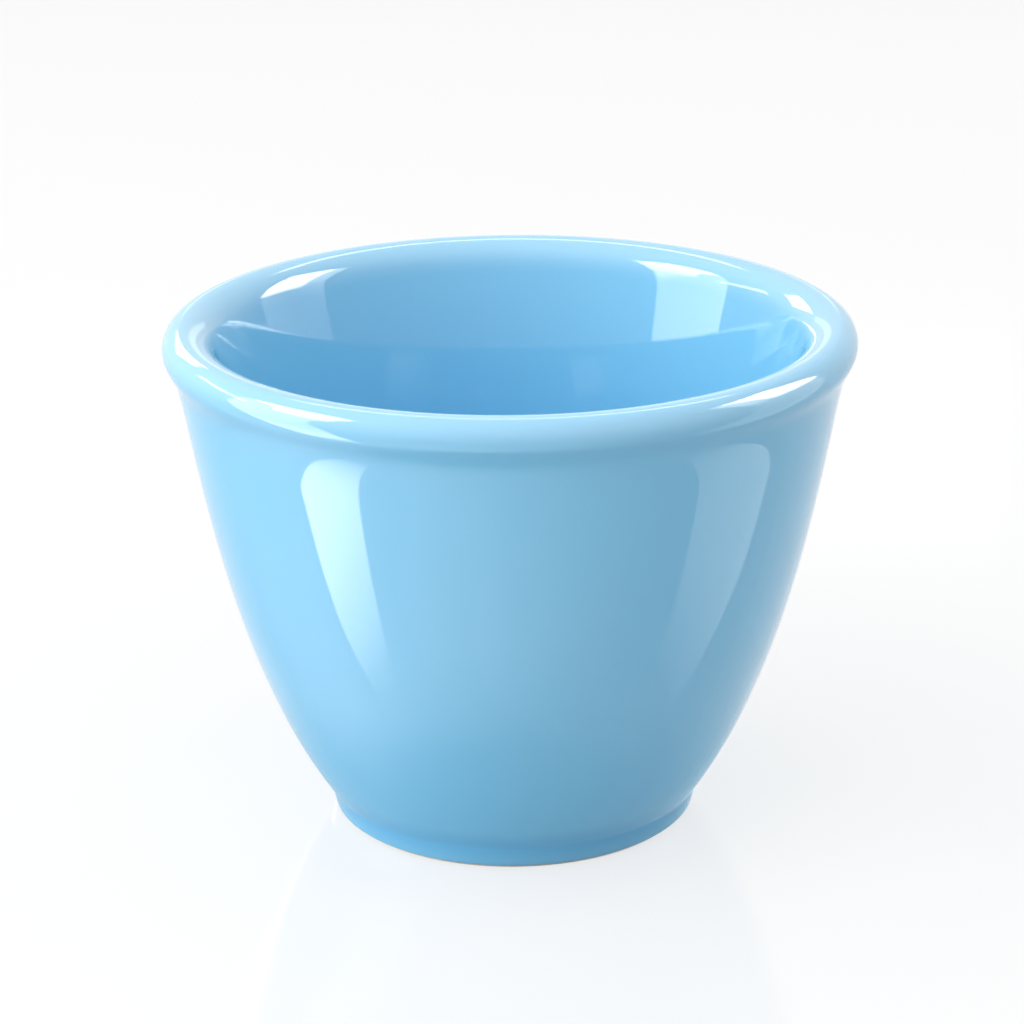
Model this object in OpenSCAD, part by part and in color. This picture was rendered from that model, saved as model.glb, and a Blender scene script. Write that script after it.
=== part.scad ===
// Arabic coffee cup: a small handle-less cup with a thick flared lip and a low foot.
// It is fired clay under a glassy glaze, so its parts nest in one another:
//   clay_body    the fired clay: wall, lip, floor and foot ring
//   glaze_coat   the glass skin over the outside, the lip and the inside of the bowl
//   base_glaze   the separate pool of glaze in the recess inside the foot ring
// Millimetres, +Z up, origin on the table under the middle of the cup.
// The sizes are those of the finished, glazed cup. Each outline is a list of stations,
// and a station is a point on the glazed surface with its outward normal, so the clay
// is the same outline set back by the thickness of the glaze.

/* [Overall] */
// Diameter over the glazed lip, at its widest
rim_d = 67; // [56:0.5:80]
// Height from the table to the top of the lip
cup_h = 50; // [42:0.5:62]

/* [Lip] */
// Radius of the lip's outer edge
lip_outer_r = 2.0; // [1.2:0.1:2.6]
// Radius of the lip's broad inner round
lip_inner_r = 3.3; // [2.0:0.1:4.0]
// Slope of the flare where it runs into the lip, in degrees from level
flare_slope = 67; // [50:1:74]
// Slope at which the inner round runs into the inside, in degrees from level
inside_slope = 57; // [45:1:70]

/* [Wall] */
// Diameter at the neck, where the outer wall stands steepest
neck_d = 63.2; // [56:0.1:65]
// Drop from the top of the lip to the neck
neck_drop = 8.4; // [7:0.1:16]
// Slope of the outer wall at the neck, in degrees from level
neck_slope = 80; // [72:0.5:84]
// Slope of the outer wall where it leaves the foot, in degrees from level
wall_slope = 56; // [48:0.5:66]
// Pull of the lower wall's curve, up from the foot
belly_low = 12.8; // [9:0.1:18]
// Pull of the upper wall's curve, down from the neck
belly_high = 15.4; // [9:0.1:18]
// Pull of the flare's curve, up from the neck
flare_low = 4.6; // [2:0.2:8]
// Pull of the flare's curve, down from the lip
flare_high = 1.4; // [0.4:0.2:4]
// Thickness of the glazed wall where it is even, square to its surface
wall_t = 3.5; // [2.6:0.1:4.2]
// Drop from the top of the lip to where the wall becomes even
inside_drop = 17; // [13:0.5:24]
// Pull of the inside's curve, down from the lip
inside_high = 2; // [1:0.5:4]
// Pull of the inside's curve, up from the even wall
inside_low = 6; // [3:0.5:9]

/* [Foot] */
// Diameter of the foot where it meets the table
foot_d = 35.8; // [31:0.2:38]
// Diameter at the crease between foot and wall
crease_d = 37.0; // [34:0.2:42]
// Height of the crease above the table
foot_h = 2.4; // [2:0.1:4]
// Radius that softens the crease
crease_soft_r = 2.0; // [0.5:0.1:4]
// Width of the bare ring that stands on the table
ring_w = 2.6; // [2:0.1:4]
// Radius of the bare ring's worn edges
ring_edge_r = 0.25; // [0.15:0.05:0.6]

/* [Floor and recess] */
// Depth of the turned recess inside the foot ring
recess_h = 1.8; // [1.4:0.1:2.6]
// Slope of the recess wall, in degrees from level
recess_slope = 70; // [55:1:85]
// Radius of the corner between the recess wall and its roof
recess_r = 0.7; // [0.4:0.1:1.0]
// Thickness of the glazed floor over the recess
floor_t = 3.2; // [2.4:0.1:5]
// Radius of the curve between the bowl's wall and its floor
bowl_r = 11; // [7:0.5:13]

/* [Glaze] */
// Thickness of the glaze
glaze_t = 0.3; // [0.2:0.05:0.5]
// Height above the table at which the glaze ends, inside and outside the foot ring
glaze_line = 0.3; // [0.25:0.05:0.6]

/* [Hidden] */
$fn = 128;
CLAY = [0.93, 0.91, 0.87];
SKY_BLUE = [0.55, 0.79, 0.94];

// Stations along each stretch
WALL_STEPS = 22;
FLARE_STEPS = 12;
INSIDE_STEPS = 14;
ARC_STEP = 10; // degrees, or less

rim_r = rim_d / 2;
neck = [neck_d / 2, cup_h - neck_drop];
foot = [foot_d / 2, 0];
crease = [crease_d / 2, foot_h];
lip_top_r = rim_r - lip_outer_r;
floor_z = recess_h + floor_t;

// Headings are degrees from level. The outline runs up the outside, over the lip and
// down the inside to the axis, with the clay on its left.
function along(a) = [cos(a), sin(a)];
function outward(a) = [sin(a), -cos(a)];
function right_of(v) = [v.y, -v.x] / norm(v);
function tail(list) = [for (i = [1:1:len(list) - 1]) list[i]];
function reversed(list) = [for (i = [len(list) - 1:-1:0]) list[i]];

// A station's point, moved off the glazed surface by d
function points_at(stations, d) = [for (s = stations) s[0] + d * s[1]];

// Round the heading from a0 to a1 at a radius. side is 1 on an outer round, -1 in a hollow.
function arc(centre, r, side, a0, a1) =
    let (n = max(1, ceil(abs(a1 - a0) / ARC_STEP)))
    [for (i = [0:n]) let (a = a0 + (a1 - a0) * i / n) [centre + side * r * outward(a), outward(a)]];

// Round off a corner point where the heading changes from a0 to a1
function rounded(corner, r, a0, a1) =
    let (side = a1 > a0 ? 1 : -1,
         start = corner - r * tan(abs(a1 - a0) / 2) * along(a0))
    arc(start - side * r * outward(a0), r, side, a0, a1);

// A cubic curve from p to q that leaves at heading ap with pull lp, and arrives likewise
function curve(p, ap, lp, q, aq, lq, t) =
    let (b = p + lp * along(ap), c = q - lq * along(aq), u = 1 - t)
    [u*u*u * p + 3*u*u*t * b + 3*u*t*t * c + t*t*t * q,
     right_of(u*u * (b - p) + 2*u*t * (c - b) + t*t * (q - c))];

// ---- The outside, from the foot up ----
foot_slope = atan2(crease.y - foot.y, crease.x - foot.x);
crease_round = rounded(crease, crease_soft_r, foot_slope, wall_slope);
wall_foot = crease_round[len(crease_round) - 1][0];
function wall_station(t) = curve(wall_foot, wall_slope, belly_low, neck, neck_slope, belly_high, t);
outer_wall = [for (i = [0:WALL_STEPS]) wall_station(i / WALL_STEPS)];

lip_outer_centre = [lip_top_r, cup_h - lip_outer_r];
lip_inner_centre = [lip_top_r, cup_h - lip_inner_r];
lip_outer = arc(lip_outer_centre, lip_outer_r, 1, flare_slope, 180);
lip_inner = arc(lip_inner_centre, lip_inner_r, 1, 180, 180 + inside_slope);
flare = [for (i = [0:FLARE_STEPS])
    curve(neck, neck_slope, flare_low, lip_outer[0][0], flare_slope, flare_high, i / FLARE_STEPS)];

// ---- The inside, from the lip down ----
// The even part of the inner wall keeps the wall's thickness from the outer one
function inner_station(t) = let (s = wall_station(t)) [s[0] - wall_t * s[1], -s[1]];
function slope_at(t) = let (n = wall_station(t)[1]) atan2(n.x, -n.y);

// Where along the outer wall a measure turns from negative to positive, by halving
function turn_of(measure, low, high, halvings) =
    let (mid = (low + high) / 2)
    halvings == 0 ? mid
    : measure(mid) > 0 ? turn_of(measure, low, mid, halvings - 1)
    : turn_of(measure, mid, high, halvings - 1);

// The bowl's floor curve leaves the inner wall here
above_floor = function (t) inner_station(t)[0].y - floor_z - bowl_r * (1 - cos(slope_at(t)));
bowl_t = turn_of(above_floor, 0, 1, 24);
bowl_slope = slope_at(bowl_t);
bowl_edge = inner_station(bowl_t)[0];

// Above here the wall thickens towards the lip
above_even = function (t) inner_station(t)[0].y - (cup_h - inside_drop);
even_t = turn_of(above_even, bowl_t, 1, 24);
lip_inside = lip_inner[len(lip_inner) - 1][0];
upper_inside = [for (i = [0:INSIDE_STEPS])
    curve(lip_inside, 180 + inside_slope, inside_high,
          inner_station(even_t)[0], 180 + slope_at(even_t), inside_low, i / INSIDE_STEPS)];
inner_wall = [for (i = [0:WALL_STEPS]) inner_station(even_t + (bowl_t - even_t) * i / WALL_STEPS)];
bowl_curve = arc(bowl_edge + bowl_r * outward(180 + bowl_slope), bowl_r, -1, 180 + bowl_slope, 180);
bowl_middle = [[0, floor_z], outward(180)];

// ---- The recess, from the axis out to the bare ring ----
ring_outer_r = foot.x - glaze_t / sin(foot_slope);
ring_inner_r = ring_outer_r - ring_w;
recess_mouth = [ring_inner_r - glaze_t / sin(recess_slope), 0];
recess_corner = recess_mouth + recess_h / sin(recess_slope) * along(180 - recess_slope);
recess_middle = [[0, recess_h], outward(0)];
recess_round = rounded(recess_corner, recess_r, 0, -recess_slope);

// The glaze thins out in a round bead where it ends on the clay. From a point on the
// clay at the glaze line, the bead grows along the heading a that leads over the glaze.
function clay_at_line(mouth, a) = mouth - glaze_t * outward(a) + (glaze_line +
    glaze_t * outward(a).y) / along(a).y * along(a);
function bead(edge, a, side) = [for (q = [0:30:90])
    edge + side * glaze_t * (1 - cos(q)) * along(a) + glaze_t * sin(q) * outward(a)];

outer_edge = clay_at_line(foot, foot_slope);
recess_edge = clay_at_line(recess_mouth, -recess_slope);

// ---- Outlines ----
// Stations that the two glazes cover
coat = concat(crease_round, tail(outer_wall), tail(flare), tail(lip_outer), tail(lip_inner),
              tail(upper_inside), tail(inner_wall), tail(bowl_curve), [bowl_middle]);
pool = concat([recess_middle], recess_round);

// A worn edge is round up to just below the glaze line, and no further
function edge_r(slope) = min(ring_edge_r, 0.9 * glaze_line / (1 - cos(slope)));
bare_ring = concat(
    points_at(rounded([ring_inner_r, 0], edge_r(recess_slope), -recess_slope, 0), 0),
    points_at(rounded([ring_outer_r, 0], edge_r(foot_slope), 0, foot_slope), 0));

clay_outline = concat(points_at(pool, -glaze_t), [recess_edge], bare_ring, [outer_edge],
                      points_at(coat, -glaze_t));
coat_outline = concat(bead(outer_edge, foot_slope, 1), points_at(coat, 0),
                      reversed(points_at(coat, -glaze_t)));
pool_outline = concat(points_at(pool, 0), reversed(bead(recess_edge, -recess_slope, -1)),
                      reversed(points_at(pool, -glaze_t)));

// ---- Parts ----
module clay_body() {
    color(CLAY) rotate_extrude() polygon(clay_outline);
}

module glaze_coat() {
    color(SKY_BLUE) rotate_extrude() polygon(coat_outline);
}

module base_glaze() {
    color(SKY_BLUE) rotate_extrude() polygon(pool_outline);
}

clay_body();
glaze_coat();
base_glaze();
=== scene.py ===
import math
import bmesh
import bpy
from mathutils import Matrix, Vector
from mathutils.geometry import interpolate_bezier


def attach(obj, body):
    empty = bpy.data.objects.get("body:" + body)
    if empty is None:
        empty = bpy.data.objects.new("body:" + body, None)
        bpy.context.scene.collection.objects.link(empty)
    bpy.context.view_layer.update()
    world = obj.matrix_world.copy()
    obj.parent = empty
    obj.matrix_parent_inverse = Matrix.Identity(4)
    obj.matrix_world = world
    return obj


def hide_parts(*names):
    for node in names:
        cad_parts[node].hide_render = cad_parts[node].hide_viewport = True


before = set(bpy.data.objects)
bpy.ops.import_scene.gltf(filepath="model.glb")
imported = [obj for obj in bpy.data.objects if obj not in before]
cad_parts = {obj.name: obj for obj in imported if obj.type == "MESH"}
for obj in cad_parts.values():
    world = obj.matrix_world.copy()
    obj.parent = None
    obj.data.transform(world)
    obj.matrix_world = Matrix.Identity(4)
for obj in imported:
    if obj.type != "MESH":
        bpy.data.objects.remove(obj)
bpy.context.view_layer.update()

# %% [markdown]
# # An arabic coffee cup in sky-blue glaze
# A small cup without a handle: a thick rounded lip, a wall that tapers in one soft curve, and a
# low foot. It is one piece of fired clay under glass. The frame loaded above holds it as three
# solids: the clay, the coat of glaze over it, and the small pool of glaze in the recess under the
# foot. Nothing on a cup moves, so the pieces of glaze made here ride on the body called root.

MM = 0.001

# %% [markdown]
# ## The camera
# The rim reads as an ellipse about a third as deep as it is wide, so the camera looks down by 19
# degrees. How fast the foot shrinks against the rim gives the distance, about 32 cm, with a long
# lens. The photograph leans by half a degree, so the camera is turned about its own axis as much.

# %% Camera
LOOKS_DOWN = math.radians(19.349)
LEAN = math.radians(0.5427)
CAMERA_DISTANCE = 320 * MM
AIM = Vector((0.0402, 0, 30.1219)) * MM
LENS_MM, SENSOR_MM = 114.284, 36

lens = bpy.data.cameras.new("camera")
lens.lens = LENS_MM
lens.sensor_width = SENSOR_MM
camera = bpy.data.objects.new("camera", lens)
bpy.context.scene.collection.objects.link(camera)
towards_camera = Vector((0, -math.cos(LOOKS_DOWN), math.sin(LOOKS_DOWN)))
camera.location = AIM + CAMERA_DISTANCE * towards_camera
tilt = Matrix.Rotation(math.radians(90) - LOOKS_DOWN, 3, "X")
camera.rotation_euler = (tilt @ Matrix.Rotation(-LEAN, 3, "Z")).to_euler()
bpy.context.scene.camera = camera
print("camera at", [round(x / MM, 1) for x in camera.location], "mm")

# %% [markdown]
# ## The outline of the glaze
# A cup is thrown or cast round, so one outline turned about its axis gives the whole of it. The
# solids come from such an outline too, in steps that are right for a solid. A glossy surface shows
# every step as a kink in its reflections, so the outline is drawn again here, much finer. It is a
# list of stations: a point, as radius and height, and the way out of the surface there. With the
# way out known, the back of the glaze is the same outline set back by its thickness.

# %% Sizes, in millimetres and degrees
RIM_R, CUP_H = 33.5, 50.0
LIP_OUTER_R, LIP_INNER_R = 2.0, 3.3
FLARE_SLOPE = 67
NECK = Vector((31.6, 41.6))
NECK_SLOPE, WALL_SLOPE = 80, 56
BELLY_LOW, BELLY_HIGH = 12.8, 15.4
FLARE_LOW, FLARE_HIGH = 4.6, 1.4
WALL_T = 3.5
FOOT, CREASE = Vector((17.9, 0)), Vector((18.5, 2.4))
CREASE_SOFT_R, BOWL_R = 2.0, 11
RING_W, RECESS_H, RECESS_SLOPE, RECESS_R = 2.6, 1.8, 70, 0.7
FLOOR_Z = 5.0
GLAZE_T, GLAZE_LINE = 0.3, 0.3

# Steps along each stretch, and degrees to a step of a round
WALL_STEPS, FLARE_STEPS, INSIDE_STEPS = 70, 30, 60
ARC_STEP, BEAD_STEP = 3, 15
print("the cup is", 2 * RIM_R, "mm across and", CUP_H, "mm high")


# %% Helpers for stations
def along(slope):
    """The way the outline runs, for a slope in degrees from level."""
    return Vector((math.cos(math.radians(slope)), math.sin(math.radians(slope))))


def outward(slope):
    """The way out of the surface at that slope."""
    return Vector((math.sin(math.radians(slope)), -math.cos(math.radians(slope))))


def slope_of(way_out):
    """The slope that belongs to a way out."""
    return math.degrees(math.atan2(way_out.x, -way_out.y))


def arc(centre, radius, side, start, end):
    """Round a centre, from one slope to another; side is 1 for a bulge and -1 for a hollow."""
    steps = max(1, math.ceil(abs(end - start) / ARC_STEP))
    slopes = [start + (end - start) * i / steps for i in range(steps + 1)]
    return [(centre + side * radius * outward(a), outward(a)) for a in slopes]


def soft_corner(corner, radius, start, end):
    """Rounds off a corner where the outline turns from one slope to another."""
    side = 1 if end > start else -1
    first = corner - radius * math.tan(math.radians(abs(end - start) / 2)) * along(start)
    return arc(first - side * radius * outward(start), radius, side, start, end)


def sweep(p, slope_p, pull_p, q, slope_q, pull_q, steps):
    """A smooth curve from p to q; a pull is how long the curve keeps the slope of its end."""
    knots = (p, p + pull_p * along(slope_p), q - pull_q * along(slope_q), q)
    points = [v.to_2d() for v in interpolate_bezier(*[k.to_3d() for k in knots], steps + 1)]
    ahead = [b - a for a, b in zip(points, points[1:])]
    between = [(a + b).normalized() for a, b in zip(ahead, ahead[1:])]
    ways = [along(slope_p)] + between + [along(slope_q)]
    return [(point, Vector((way.y, -way.x))) for point, way in zip(points, ways)]


def moved(stations, distance):
    """The points of some stations, moved off the glazed surface."""
    return [point + distance * way_out for point, way_out in stations]


# %% The outside, from the foot to the lip
foot_slope = math.degrees(math.atan2(CREASE.y - FOOT.y, CREASE.x - FOOT.x))
crease = soft_corner(CREASE, CREASE_SOFT_R, foot_slope, WALL_SLOPE)
wall = sweep(crease[-1][0], WALL_SLOPE, BELLY_LOW, NECK, NECK_SLOPE, BELLY_HIGH, WALL_STEPS)
lip_r = RIM_R - LIP_OUTER_R
lip_outer = arc(Vector((lip_r, CUP_H - LIP_OUTER_R)), LIP_OUTER_R, 1, FLARE_SLOPE, 180)
flare = sweep(NECK, NECK_SLOPE, FLARE_LOW, lip_outer[0][0], FLARE_SLOPE, FLARE_HIGH, FLARE_STEPS)
outside = crease + wall[1:] + flare[1:] + lip_outer[1:]
print("outside:", len(outside), "stations")

# %% [markdown]
# ## The inside
# The inner wall keeps its distance from the outer one, down to the curve of the bowl's floor.
# Below the lip, the photograph shows two highlights like upright windows. Their straight sides say
# that the wall leans in for longer there than the solid's does. So the surface of the glaze takes
# an eased curve, up to 2 mm further in than the solid, and the back of the glaze stays on the
# clay.

# %% The bowl, where it leaves the even wall
even_wall = [(point - WALL_T * way_out, -way_out) for point, way_out in wall]
for start in range(len(wall)):
    slope = slope_of(wall[start][1])
    if even_wall[start][0].y > FLOOR_Z + BOWL_R * (1 - math.cos(math.radians(slope))):
        break
bowl_centre = even_wall[start][0] + BOWL_R * outward(180 + slope)
bowl = arc(bowl_centre, BOWL_R, -1, 180 + slope, 180)
bowl_middle = [(Vector((0, bowl[-1][0].y)), outward(180))]
print("the floor is", round(bowl[-1][0].y - FLOOR_Z, 3), "mm off")

# %% The inside, from the lip down to the middle of the bowl
# The wall's upper curve: the drop to its lower end, its two pulls, and its first slope
SOLID_INSIDE = (17, 2, 6, 57)
EASED_INSIDE = (32, 14, 6, 67)


def inside(drop, high, low, first_slope):
    """The lip's inner round, the wall's upper curve, its even part and the bowl."""
    lip_centre = Vector((lip_r, CUP_H - LIP_INNER_R))
    lip = arc(lip_centre, LIP_INNER_R, 1, 180, 180 + first_slope)
    join = next(i for i, (point, _) in enumerate(even_wall) if point.y > CUP_H - drop)
    last_slope = 180 + slope_of(wall[join][1])
    upper = sweep(lip[-1][0], 180 + first_slope, high,
                  even_wall[join][0], last_slope, low, INSIDE_STEPS)
    return lip[1:] + upper[1:] + even_wall[join - 1:start:-1] + bowl[1:] + bowl_middle


front, back = inside(*EASED_INSIDE), inside(*SOLID_INSIDE)
print("inside:", len(front), "stations in front and", len(back), "behind")

# %% [markdown]
# ## The recess, and the edges of the glaze
# Under the foot, a ring of bare clay stands on the table, and inside it is a shallow recess with
# its own pool of glaze. A glaze doesn't stop in a sharp step. It draws back into a round bead, so
# both outlines end in a quarter turn that grows out of the clay.

# %% The recess under the foot
ring_outer_r = FOOT.x - GLAZE_T / math.sin(math.radians(foot_slope))
ring_inner_r = ring_outer_r - RING_W
recess_lean = math.sin(math.radians(RECESS_SLOPE))
recess_mouth = Vector((ring_inner_r - GLAZE_T / recess_lean, 0))
recess_corner = recess_mouth + RECESS_H / recess_lean * along(180 - RECESS_SLOPE)
recess = soft_corner(recess_corner, RECESS_R, 0, -RECESS_SLOPE)
print("bare ring from", round(ring_inner_r, 2), "to", round(ring_outer_r, 2), "mm")


# %% The bead
def clay_at_line(mouth, slope):
    """The point on the clay at the height where the glaze ends."""
    rise = (GLAZE_LINE + GLAZE_T * outward(slope).y) / along(slope).y
    return mouth - GLAZE_T * outward(slope) + rise * along(slope)


def bead(mouth, slope, side):
    edge = clay_at_line(mouth, slope)
    turns = [math.radians(a) for a in range(0, 91, BEAD_STEP)]
    return [edge + side * GLAZE_T * (1 - math.cos(a)) * along(slope)
            + GLAZE_T * math.sin(a) * outward(slope) for a in turns]


# %% The two outlines
# The back of the coat lies on the clay, out of sight, so every third station is enough there
coat_outline = (bead(FOOT, foot_slope, 1) + moved(outside + front, 0)
                + moved(outside + back, -GLAZE_T)[::-3])
pool_stations = [(Vector((0, RECESS_H)), outward(0))] + recess
pool_outline = (moved(pool_stations, 0) + bead(recess_mouth, -RECESS_SLOPE, -1)[::-1]
                + moved(pool_stations, -GLAZE_T)[::-1])
print("outlines:", len(coat_outline), "and", len(pool_outline), "points")

# %% [markdown]
# ## Turning the outline
# Spin turns the outline round the axis as a potter's wheel does, and use_merge joins the last turn
# to the first. The points on the axis come out once for each step, so they are merged after that,
# and an edge that is left lying along the axis goes. Then the faces are told which way is out.

# %% A wheel for outlines
TURN_STEPS = 180
SAME_PLACE = 0.002 * MM


def in_scene(name, work):
    """Ends a bmesh as an object of the scene."""
    mesh = bpy.data.meshes.new(name)
    work.to_mesh(mesh)
    work.free()
    made = bpy.data.objects.new(name, mesh)
    bpy.context.scene.collection.objects.link(made)
    return made


def turned(name, outline, closed):
    work = bmesh.new()
    corners = [work.verts.new((p.x * MM, 0, p.y * MM)) for p in outline]
    pairs = list(zip(corners, corners[1:])) + ([(corners[-1], corners[0])] if closed else [])
    edges = [work.edges.new(pair) for pair in pairs]
    bmesh.ops.spin(work, geom=corners + edges, cent=(0, 0, 0), axis=(0, 0, 1), dvec=(0, 0, 0),
                   angle=math.tau, steps=TURN_STEPS, use_merge=True)
    bmesh.ops.remove_doubles(work, verts=work.verts, dist=SAME_PLACE)
    on_axis = [e for e in work.edges if not e.link_faces]
    bmesh.ops.delete(work, geom=on_axis, context="EDGES")
    bmesh.ops.recalc_face_normals(work, faces=work.faces)
    for face in work.faces:
        face.smooth = True
    open_edges = sum(1 for e in work.edges if len(e.link_faces) != 2)
    piece = in_scene(name, work)
    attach(piece, "root")
    print(name, len(piece.data.polygons), "faces,", open_edges, "open edges")
    return piece


# %% The coat of glaze and the pool under the foot
glossy_coat = turned("glossy_coat", coat_outline, True)
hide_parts("glaze_coat")
glossy_pool = turned("glossy_pool", pool_outline, False)
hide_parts("base_glaze")

# %% [markdown]
# ## The glaze
# The glaze is coloured glass, about a third of a millimetre thick, over pale clay. It is milky
# enough to hide the clay, and glossy. It could be modelled as real glass over the clay, but that
# renders slowly and the colour is hard to steer, so it is a plain glossy surface whose colour
# follows the glaze's thickness, with some light and shade painted in. Where it runs thin over the
# lip it is paler, and light is painted on the top of the lip too. Where it gathers in the crease
# and at the bottom of the bowl it is deeper, with painted shade there too. Inside, painted shading
# makes it a little greyer. Its surface isn't dead flat: it has slow, very low waves, which bend
# the edges of reflections a little.


# %% Helpers for nodes and colours
def linear(red, green, blue):
    """From the 0 to 255 of a colour picker to the shader's own scale."""
    scale = [c / 255 for c in (red, green, blue)]
    return tuple(c / 12.92 if c < 0.04045 else ((c + 0.055) / 1.055) ** 2.4 for c in scale) + (1,)


def node(tree, kind, **settings):
    """A new node, to the right of those that the tree has."""
    made = tree.nodes.new(kind)
    made.location.x = 220 * len(tree.nodes)
    for key, value in settings.items():
        setattr(made, key, value)
    return made


def feed(tree, socket, value):
    """A number or a colour is set on a socket, and another node's output is linked to it."""
    if isinstance(value, (tuple, float, int)):
        socket.default_value = value
    else:
        tree.links.new(value, socket)


def math_node(tree, operation, a, b):
    made = node(tree, "ShaderNodeMath", operation=operation)
    feed(tree, made.inputs[0], a)
    feed(tree, made.inputs[1], b)
    return made.outputs[0]


def vector_math(tree, operation, a, b=(0, 0, 0)):
    """LENGTH and DOT_PRODUCT put out a number, and the others a vector."""
    made = node(tree, "ShaderNodeVectorMath", operation=operation)
    feed(tree, made.inputs[0], a)
    feed(tree, made.inputs[1], b)
    return made.outputs["Value" if operation in ("LENGTH", "DOT_PRODUCT") else "Vector"]


def mixed(tree, factor, a, b):
    """The first colour where the factor is 0, the second where it is 1."""
    mix = node(tree, "ShaderNodeMix", data_type="RGBA")
    for socket, value in ((mix.inputs[0], factor), (mix.inputs[6], a), (mix.inputs[7], b)):
        feed(tree, socket, value)
    return mix.outputs[2]


def soft_step(tree, value, low, high):
    """0 at low, 1 at high, and soft between."""
    spread = node(tree, "ShaderNodeMapRange", interpolation_type="SMOOTHSTEP")
    feed(tree, spread.inputs["Value"], value)
    feed(tree, spread.inputs["From Min"], low)
    feed(tree, spread.inputs["From Max"], high)
    return spread.outputs[0]


print("a grey of 128 is", round(linear(128, 128, 128)[0], 3), "on the shader's scale")

# %% [markdown]
# How thick the glaze lies, and where light and shade are painted into it, is read from the place
# on the cup, so it is a group of nodes that puts out masks: thin and lit over the lip, gathered and
# shaded in the crease and the bowl, and shaded inside, where the surface faces the axis. The same
# group gives a soft cloud and the waves, with their scales as its inputs.

# %% Where each mask starts and where it is full, in millimetres
# The lip band also places painted light, and the crease, bowl and inside bands painted shade
LIP_BAND = (CUP_H - 3.2, CUP_H - 0.6)
CREASE_FROM_BELOW, CREASE_FROM_ABOVE = (0.6, 2.2), (5.0, 2.8)
BOWL_HEIGHT, BOWL_RADIUS = (FLOOR_Z + 5, FLOOR_Z), (17, 13)
# Distance from the axis, times how much the surface faces away from it, so below 0 inside
FACES_AXIS = (4, -8)
CLOUD_SCALE, WAVE_SCALE = 55, 110
print("the glaze thins out over the lip from", LIP_BAND[0], "to", LIP_BAND[1], "mm")


# %% A shader group for how thick the glaze lies, and where light and shade are painted
def glaze_depth_and_shading_group():
    tree = bpy.data.node_groups.new("glaze_depth_and_shading", "ShaderNodeTree")
    for name in ("Thin And Lit", "Gathered And Shaded", "Inside", "Cloud", "Waves"):
        tree.interface.new_socket(name=name, in_out="OUTPUT", socket_type="NodeSocketFloat")
    for name, scale in (("Cloud Scale", CLOUD_SCALE), ("Wave Scale", WAVE_SCALE)):
        socket = tree.interface.new_socket(name=name, in_out="INPUT", socket_type="NodeSocketFloat")
        socket.default_value = scale
    entry = node(tree, "NodeGroupInput")
    coordinates = node(tree, "ShaderNodeTexCoord")
    place = coordinates.outputs["Object"]
    axes = node(tree, "ShaderNodeSeparateXYZ")
    tree.links.new(place, axes.inputs[0])
    height = axes.outputs[2]
    from_axis = vector_math(tree, "MULTIPLY", place, (1, 1, 0))
    radius = vector_math(tree, "LENGTH", from_axis)
    facing = vector_math(tree, "DOT_PRODUCT", from_axis, coordinates.outputs["Normal"])

    def band(value, ends):
        return soft_step(tree, value, ends[0] * MM, ends[1] * MM)

    in_crease = math_node(tree, "MULTIPLY", band(height, CREASE_FROM_BELOW),
                          band(height, CREASE_FROM_ABOVE))
    in_bowl = math_node(tree, "MULTIPLY", band(height, BOWL_HEIGHT), band(radius, BOWL_RADIUS))
    # Besides thickness, these masks place painted light on the lip, and painted shade in the
    # crease, the bowl and inside
    masks = {"Thin And Lit": band(height, LIP_BAND),
             "Gathered And Shaded": math_node(tree, "MAXIMUM", in_crease, in_bowl),
             "Inside": band(facing, FACES_AXIS)}
    for name, scale, detail in (("Cloud", "Cloud Scale", 3), ("Waves", "Wave Scale", 1)):
        noise = node(tree, "ShaderNodeTexNoise")
        noise.inputs["Detail"].default_value = detail
        tree.links.new(place, noise.inputs["Vector"])
        tree.links.new(entry.outputs[scale], noise.inputs["Scale"])
        masks[name] = noise.outputs[0]
    leave = node(tree, "NodeGroupOutput")
    for name, value in masks.items():
        tree.links.new(value, leave.inputs[name])
    print("glaze_depth_and_shading puts out", list(masks))
    return tree


# %% The glaze material
GLAZE = linear(116, 195, 235)
GLAZE_PALE = linear(150, 207, 238)
# Greyer inside the cup: painted shading of the bowl's wall
GLAZE_INSIDE_SHADED = linear(123, 191, 224)
# Paler over the lip, where the glaze runs thin, and painted light on the top of the lip
GLAZE_THIN_AND_LIT = linear(176, 216, 240)
# Deeper in the crease and the bowl, where the glaze pools, and painted shade there
GLAZE_GATHERED_AND_SHADED = linear(99, 182, 229)
# Which mask brings which colour, and how much of it where the mask is full
TINTS = (("Cloud", 0.25, GLAZE_PALE), ("Inside", 0.8, GLAZE_INSIDE_SHADED),
         ("Thin And Lit", 0.55, GLAZE_THIN_AND_LIT), ("Gathered And Shaded", 0.7, GLAZE_GATHERED_AND_SHADED))
SMOOTHEST, CLOUDS_ROUGHEN = 0.035, 0.03
WAVE_HEIGHT, WAVE_STRENGTH = 0.02 * MM, 0.35


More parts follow.
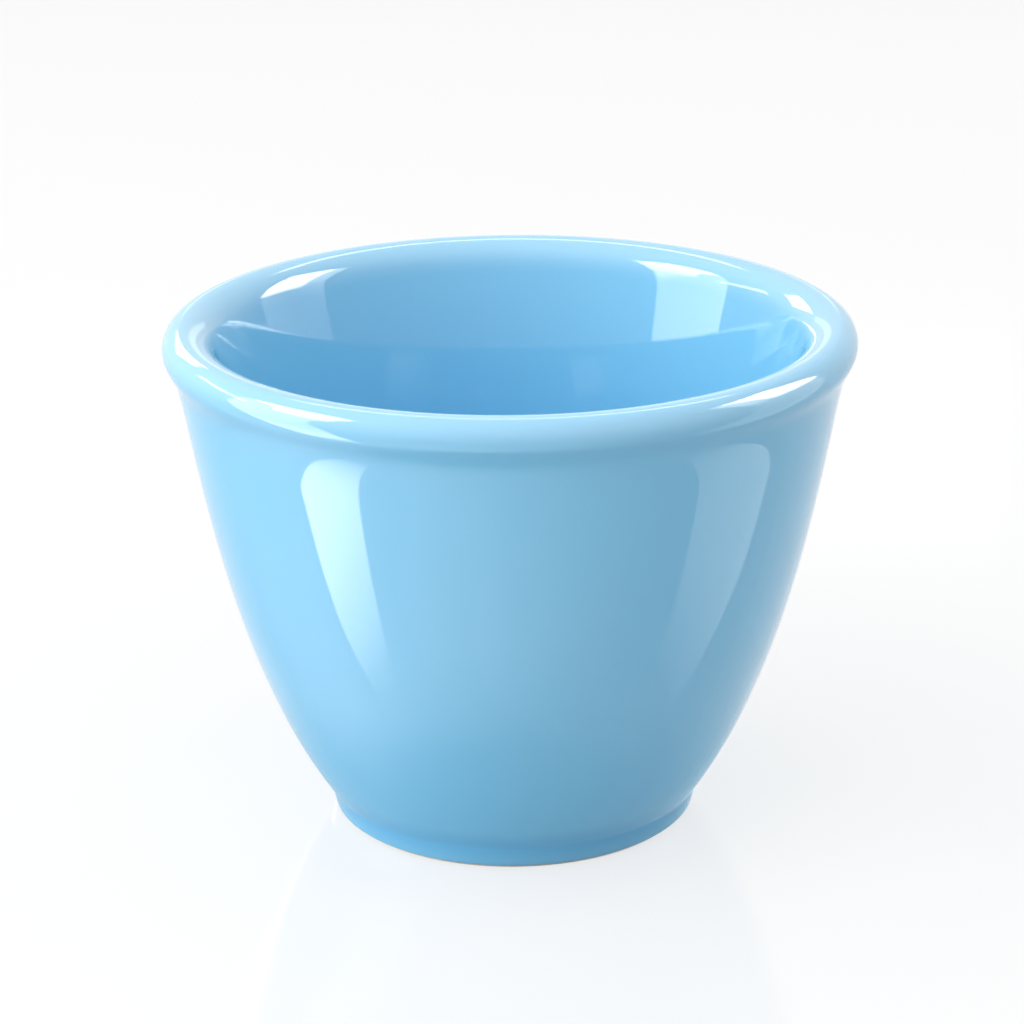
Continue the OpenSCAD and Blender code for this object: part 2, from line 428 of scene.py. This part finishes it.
def glaze_material(name):
    material = bpy.data.materials.new(name)
    material.use_nodes = True
    tree = material.node_tree
    shader = tree.nodes["Principled BSDF"]
    shader.inputs["IOR"].default_value = 1.5
    shader.inputs["Specular IOR Level"].default_value = 0.5
    depth_and_shading = node(tree, "ShaderNodeGroup", node_tree=glaze_depth_and_shading_group())
    depth_and_shading.inputs["Cloud Scale"].default_value = CLOUD_SCALE
    depth_and_shading.inputs["Wave Scale"].default_value = WAVE_SCALE
    colour = GLAZE
    for mask, share, tint in TINTS:
        amount = math_node(tree, "MULTIPLY", depth_and_shading.outputs[mask], share)
        colour = mixed(tree, amount, colour, tint)
    tree.links.new(colour, shader.inputs["Base Color"])
    clouds = math_node(tree, "MULTIPLY", depth_and_shading.outputs["Cloud"], CLOUDS_ROUGHEN)
    tree.links.new(math_node(tree, "ADD", clouds, SMOOTHEST), shader.inputs["Roughness"])
    bump = node(tree, "ShaderNodeBump")
    bump.inputs["Strength"].default_value = WAVE_STRENGTH
    bump.inputs["Distance"].default_value = WAVE_HEIGHT
    tree.links.new(depth_and_shading.outputs["Waves"], bump.inputs["Height"])
    tree.links.new(bump.outputs["Normal"], shader.inputs["Normal"])
    return material


sky_blue_glaze = glaze_material("sky_blue_glaze")
for piece in (glossy_coat, glossy_pool):
    piece.data.materials.append(sky_blue_glaze)
    print("glaze on", piece.name)

# %% [markdown]
# ## The bare clay
# Only the ring that the cup stands on is bare. Its clay is pale, dry and slightly speckled. Fine
# noise gives the grain, in the colour and as bump, and the middles of small cells give the specks.
# The solid has the right shape, so it stays, and gets this material.

# %% The clay material
CLAY_DARK, CLAY_LIGHT = linear(226, 219, 206), linear(240, 235, 225)
SPECK, SPECK_SHARE = linear(150, 132, 112), 0.5
GRAIN_SCALE, SPECK_SCALE = 2500, 900
SPECK_EDGE, SPECK_CORE = 0.10, 0.04
GRAIN_HEIGHT, GRAIN_STRENGTH = 0.03 * MM, 0.5


def clay_material():
    material = bpy.data.materials.new("fired_clay")
    material.use_nodes = True
    tree = material.node_tree
    shader = tree.nodes["Principled BSDF"]
    place = node(tree, "ShaderNodeTexCoord").outputs["Object"]
    grain, cells = node(tree, "ShaderNodeTexNoise"), node(tree, "ShaderNodeTexVoronoi")
    grain.inputs["Scale"].default_value = GRAIN_SCALE
    grain.inputs["Detail"].default_value = 4
    cells.inputs["Scale"].default_value = SPECK_SCALE
    for texture in (grain, cells):
        tree.links.new(place, texture.inputs["Vector"])
    speck = node(tree, "ShaderNodeMapRange")
    speck.inputs["From Min"].default_value = SPECK_EDGE
    speck.inputs["From Max"].default_value = SPECK_CORE
    tree.links.new(cells.outputs["Distance"], speck.inputs["Value"])
    base = mixed(tree, grain.outputs[0], CLAY_DARK, CLAY_LIGHT)
    amount = math_node(tree, "MULTIPLY", speck.outputs[0], SPECK_SHARE)
    tree.links.new(mixed(tree, amount, base, SPECK), shader.inputs["Base Color"])
    shader.inputs["Roughness"].default_value = 0.85
    bump = node(tree, "ShaderNodeBump")
    bump.inputs["Strength"].default_value = GRAIN_STRENGTH
    bump.inputs["Distance"].default_value = GRAIN_HEIGHT
    tree.links.new(grain.outputs[0], bump.inputs["Height"])
    tree.links.new(bump.outputs["Normal"], shader.inputs["Normal"])
    return material


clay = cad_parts["clay_body"]
clay.data.materials.clear()
clay.data.materials.append(clay_material())
print("clay on", clay.name)

# %% [markdown]
# ## The table and the room
# The cup stands on a plain white table that melts into a white room. Light Path tells what a ray
# is for. What the camera sees, directly or mirrored in the glaze, is plain white. There the table
# keeps only a quarter of the cup's soft shadow, and a trace of its mirror image. To every other
# ray the table is matt, and it throws half of the light back at the cup.


# %% Helpers for a material from scratch
def bare_material(name):
    """A material with no nodes yet, and its tree."""
    material = bpy.data.materials.new(name)
    material.use_nodes = True
    material.node_tree.nodes.clear()
    return material, material.node_tree


def light_path_white(tree):
    """1 for what the camera sees, directly or mirrored or through glass."""
    path = node(tree, "ShaderNodeLightPath")
    seen = math_node(tree, "MAXIMUM", path.outputs["Is Camera Ray"], path.outputs["Is Glossy Ray"])
    return math_node(tree, "MAXIMUM", seen, path.outputs["Is Transmission Ray"])


def blend(tree, factor, first, second):
    """The first shader where the factor is 0, the second where it is 1."""
    both = node(tree, "ShaderNodeMixShader")
    feed(tree, both.inputs[0], factor)
    tree.links.new(first, both.inputs[1])
    tree.links.new(second, both.inputs[2])
    return both.outputs[0]


# %% Table
TABLE_R = 0.6

work = bmesh.new()
bmesh.ops.create_circle(work, cap_ends=True, radius=TABLE_R, segments=96)
table = in_scene("table", work)
table.visible_glossy = False
print("table,", 2 * TABLE_R, "m across")

# %% The white of the table
THROWS_BACK, LOOKS = (0.5, 0.5, 0.5, 1), (0.9, 0.9, 0.9, 1)
PLAIN_WHITE_SHARE = 0.75
POLISH, POLISH_ROUGHNESS = 0.08, 0.10

table_white, tree = bare_material("table_white")
matt, mirror = node(tree, "ShaderNodeBsdfDiffuse"), node(tree, "ShaderNodeBsdfGlossy")
path, plain = node(tree, "ShaderNodeLightPath"), node(tree, "ShaderNodeEmission")
tree.links.new(mixed(tree, path.outputs["Is Camera Ray"], THROWS_BACK, LOOKS), matt.inputs["Color"])
mirror.inputs["Roughness"].default_value = POLISH_ROUGHNESS
shown = math_node(tree, "MULTIPLY", light_path_white(tree), PLAIN_WHITE_SHARE)
paled = blend(tree, shown, matt.outputs[0], plain.outputs[0])
polished = blend(tree, POLISH, paled, mirror.outputs[0])
tree.links.new(polished, node(tree, "ShaderNodeOutputMaterial").inputs[0])
table.data.materials.append(table_white)
print("table_white with", len(tree.nodes), "nodes")

# %% [markdown]
# Mirrored rays pass through the table, so that the glowing panels below it, further down, can
# stand for their own images in its polish. Close to the foot the glaze would mirror the table in
# the cup's shade instead, so a small disc that only mirrored rays see is that shade.

# %% The shaded table at the foot
SHADE_R, SHADE_DROP = 50 * MM, 0.5 * MM
SHADE_ENDS, SHADE_FULL = 40 * MM, 19 * MM
SHADE_COLOUR = (0.55, 0.72, 0.82, 1)

work = bmesh.new()
bmesh.ops.create_circle(work, cap_ends=True, radius=SHADE_R, segments=64)
bmesh.ops.translate(work, vec=(0, 0, -SHADE_DROP), verts=work.verts)
foot_shade = in_scene("foot_shade", work)
foot_shade.visible_camera = foot_shade.visible_diffuse = foot_shade.visible_shadow = False
shade_look, tree = bare_material("foot_shade")
reach = vector_math(tree, "LENGTH", node(tree, "ShaderNodeTexCoord").outputs["Object"])
near = soft_step(tree, reach, SHADE_ENDS, SHADE_FULL)
clear, dim = node(tree, "ShaderNodeBsdfTransparent"), node(tree, "ShaderNodeEmission")
dim.inputs["Color"].default_value = SHADE_COLOUR
tree.links.new(blend(tree, near, clear.outputs[0], dim.outputs[0]),
               node(tree, "ShaderNodeOutputMaterial").inputs[0])
foot_shade.data.materials.append(shade_look)
print("shade at the foot, out to", round(SHADE_ENDS / MM), "mm")

# %% Room
ROOM_LIGHT, ROOM_LIGHT_STRENGTH = (0.96, 0.98, 1, 1), 0.03

world = bpy.data.worlds.new("room")
bpy.context.scene.world = world
world.use_nodes = True
tree = world.node_tree
tree.nodes.clear()
seen_white, lights_things = [node(tree, "ShaderNodeBackground") for _ in range(2)]
seen_white.inputs["Color"].default_value = (1, 1, 1, 1)
lights_things.inputs["Color"].default_value = ROOM_LIGHT
lights_things.inputs["Strength"].default_value = ROOM_LIGHT_STRENGTH
tree.links.new(blend(tree, light_path_white(tree), lights_things.outputs[0], seen_white.outputs[0]),
               node(tree, "ShaderNodeOutputWorld").inputs[0])
print("room light", ROOM_LIGHT_STRENGTH)

# %% [markdown]
# ## The lights
# In the photograph, light comes from large soft boxes at the left and right, from above and from
# behind. A box does two jobs here. A soft lamp lights the cup, and no reflection shows it. A
# glowing panel is what the glaze mirrors, and it lights nothing. So the shade and the highlights
# can each be set to match. The lamps add up to a plain level, at which a colour renders about as
# it is written.

# %% Soft lamps
CUP_MIDDLE = Vector((0, 0, 30)) * MM
LAMP_DISTANCE, LAMP_SIZE = 0.8, 0.5
# This much power, at that distance, lights a facing white surface to exactly white
WHITE_POWER = (math.pi * LAMP_DISTANCE) ** 2
# Name, azimuth, elevation and share of that power. Azimuth 0 is the camera's side, 90 its right.
LAMPS = (("left_back", -120, 40, 0.26), ("left_low", -90, 12, 0.20), ("left_high", -80, 42, 0.26),
         ("front_left_low", -60, 12, 0.36), ("front_left_high", -40, 42, 0.23),
         ("front", 0, 42, 0.16), ("front_top", 0, 66, 0.07), ("front_right", 40, 42, 0.13),
         ("right_low", 91, 12, 0.12), ("right_high", 91, 42, 0.12),
         ("right_back", 130, 20, 0.20), ("back", 180, 42, 0.16), ("overhead", 0, 88, 0.19))

for name, azimuth, elevation, share in LAMPS:
    light = bpy.data.lights.new(name, "AREA")
    light.size = LAMP_SIZE
    light.energy = share * WHITE_POWER
    lamp = bpy.data.objects.new(name, light)
    turn, rise = math.radians(azimuth), math.radians(elevation)
    flat = math.cos(rise)
    way = Vector((math.sin(turn) * flat, -math.cos(turn) * flat, math.sin(rise)))
    lamp.location = CUP_MIDDLE + LAMP_DISTANCE * way
    lamp.rotation_euler = way.to_track_quat("Z", "Y").to_euler()
    lamp.visible_glossy = False
    bpy.context.scene.collection.objects.link(lamp)
    print(name, "lamp,", round(light.energy, 2), "W")

# %% [markdown]
# A panel is an upright sheet that faces the cup. Its outline is written in rows, from the bottom
# up: a height, a left and a right end, and how strongly it glows there. The outlines were worked
# back from the highlights in the photograph: each point of a highlight, and the slope of the cup
# there, says which way the glaze mirrors. Rows below the table stand for the image of a box in its
# polish.


# %% The board of a panel, and its glow
def panel_board(name, turn, rows, distance):
    """Faces from row to row, turned about the cup. Only mirrored rays see them."""
    work = bmesh.new()
    ends = [[work.verts.new((x, -distance, height)) for x in (left, right)]
            for height, left, right, _ in rows]
    for low, high in zip(ends, ends[1:]):
        work.faces.new((low[0], low[1], high[1], high[0]))
    bmesh.ops.rotate(work, matrix=Matrix.Rotation(turn, 3, "Z"), verts=work.verts)
    board = in_scene(name, work)
    board.visible_camera = board.visible_diffuse = board.visible_shadow = False
    return board


def glow_by_height(tree, place, rows):
    """A ramp from row to row, up the panel."""
    axes, spread = node(tree, "ShaderNodeSeparateXYZ"), node(tree, "ShaderNodeMapRange")
    low, high = rows[0][0], rows[-1][0]
    tree.links.new(place, axes.inputs[0])
    feed(tree, spread.inputs["Value"], axes.outputs[2])
    feed(tree, spread.inputs["From Min"], low)
    feed(tree, spread.inputs["From Max"], high)
    ramp = node(tree, "ShaderNodeValToRGB")
    tree.links.new(spread.outputs[0], ramp.inputs[0])
    brightest = max(row[3] for row in rows)
    stops = ramp.color_ramp.elements
    while len(stops) < len(rows):
        stops.new(0.5)
    for stop, (height, _, _, glow) in zip(stops, rows):
        stop.position = (height - low) / (high - low)
        stop.color = [glow / brightest] * 3 + [1]
    return math_node(tree, "MULTIPLY", ramp.outputs[0], brightest)


def faded_ends(tree, place, glow, turn, rows, fade):
    """The glow, softened towards the panel's left and right."""
    across = vector_math(tree, "DOT_PRODUCT", place, (math.cos(turn), math.sin(turn), 0))
    left, right = min(row[1] for row in rows), max(row[2] for row in rows)
    for start, end in ((left, left + fade), (right, right - fade)):
        glow = math_node(tree, "MULTIPLY", glow, soft_step(tree, across, start, end))
    return glow


# %% A panel
PANEL_DISTANCE, IN_FRONT = 0.7, 0.695


def panel(name, azimuth, rows, fade=0, distance=PANEL_DISTANCE):
    """A sheet that adds its glow to whatever is behind it."""
    turn = math.radians(azimuth)
    board = panel_board(name, turn, rows, distance)
    look, tree = bare_material(name)
    place = node(tree, "ShaderNodeTexCoord").outputs["Object"]
    glow = glow_by_height(tree, place, rows)
    if fade:
        glow = faded_ends(tree, place, glow, turn, rows, fade)
    emission, clear = node(tree, "ShaderNodeEmission"), node(tree, "ShaderNodeBsdfTransparent")
    tree.links.new(glow, emission.inputs["Strength"])
    both = node(tree, "ShaderNodeAddShader")
    tree.links.new(emission.outputs[0], both.inputs[0])
    tree.links.new(clear.outputs[0], both.inputs[1])
    tree.links.new(both.outputs[0], node(tree, "ShaderNodeOutputMaterial").inputs[0])
    board.data.materials.append(look)
    print(name, "with", len(rows), "rows")


# %% The soft boxes at the left and right, each with its hottest part just in front
panel("left_panel", -76,
      [(-0.80, 0.04, 0.215, 0), (-0.72, 0.025, 0.22, 0.7), (-0.566, -0.035, 0.222, 4),
       (-0.434, -0.07, 0.228, 7.5), (-0.10, -0.22, 0.210, 5), (0.10, -0.31, 0.13, 5),
       (0.26, -0.32, 0.12, 5), (0.36, -0.33, 0.12, 4.5), (0.55, -0.42, 0.13, 4),
       (0.70, -0.42, 0.12, 4), (0.92, -0.15, 0.12, 4)])
panel("left_hot", -76,
      [(0.34, -0.10, 0.13, 0), (0.42, -0.13, 0.15, 9), (0.56, -0.20, 0.15, 10),
       (0.66, -0.42, 0.14, 10), (0.76, -0.38, 0.13, 10), (0.92, -0.15, 0.12, 10)],
      distance=IN_FRONT)
panel("right_panel", 91,
      [(-0.80, -0.28, -0.04, 0), (-0.74, -0.277, -0.02, 0.1), (-0.604, -0.25, 0.056, 0.6),
       (-0.50, -0.236, 0.12, 1.1), (-0.434, -0.23, 0.168, 1.3), (-0.10, -0.14, 0.33, 1.1),
       (0.13, -0.10, 0.365, 1.1), (0.26, -0.08, 0.365, 1.3), (0.36, -0.09, 0.37, 4),
       (0.50, -0.09, 0.43, 5), (0.85, -0.05, 0.45, 5)])
panel("right_hot", 91,
      [(0.28, 0.06, 0.38, 0), (0.35, 0.05, 0.40, 11), (0.85, 0.05, 0.45, 11)],
      distance=IN_FRONT)

# %% [markdown]
# Around the boxes the walls of the room are bright too. Mirrored in the table and then in the wall
# of the cup, they give a pale haze, strongest at the left. Wide soft panels that overlap make it.

# %% The haze
HAZE = ((-100, 0.9), (-75, 1.2), (-50, 1.15), (-25, 1.15), (0, 0.85), (25, 0.5), (50, 0.25),
        (75, 0.12))
HAZE_HALF_WIDTH, HAZE_DISTANCE = 0.45, 0.75

for azimuth, glow in HAZE:
    heights = ((-1.5, 0), (-0.8, glow), (-0.5, glow), (-0.05, 0))
    panel(f"haze_{azimuth}", azimuth,
          [(height, -HAZE_HALF_WIDTH, HAZE_HALF_WIDTH, here) for height, here in heights],
          fade=HAZE_HALF_WIDTH, distance=HAZE_DISTANCE)

# %% Smaller lights behind the cup, for the thin lines and spots on the lip
panel("left_strip", -115, [(0.33, -0.18, 0.22, 7), (0.40, -0.18, 0.22, 7)])
panel("back_left", -153, [(0.235, -0.15, 0.08, 8), (0.40, -0.10, 0.08, 8)])
panel("low_back_strip", 180, [(0.16, -0.16, 0.16, 0.7), (0.225, -0.16, 0.16, 0.7)])
panel("high_back_strip", 180, [(0.72, -0.30, 0.30, 6), (0.85, -0.30, 0.30, 6)])

# %% [markdown]
# ## The view
# The Standard view shows each colour as it is.

# %% Colour
bpy.context.scene.view_settings.view_transform = "Standard"
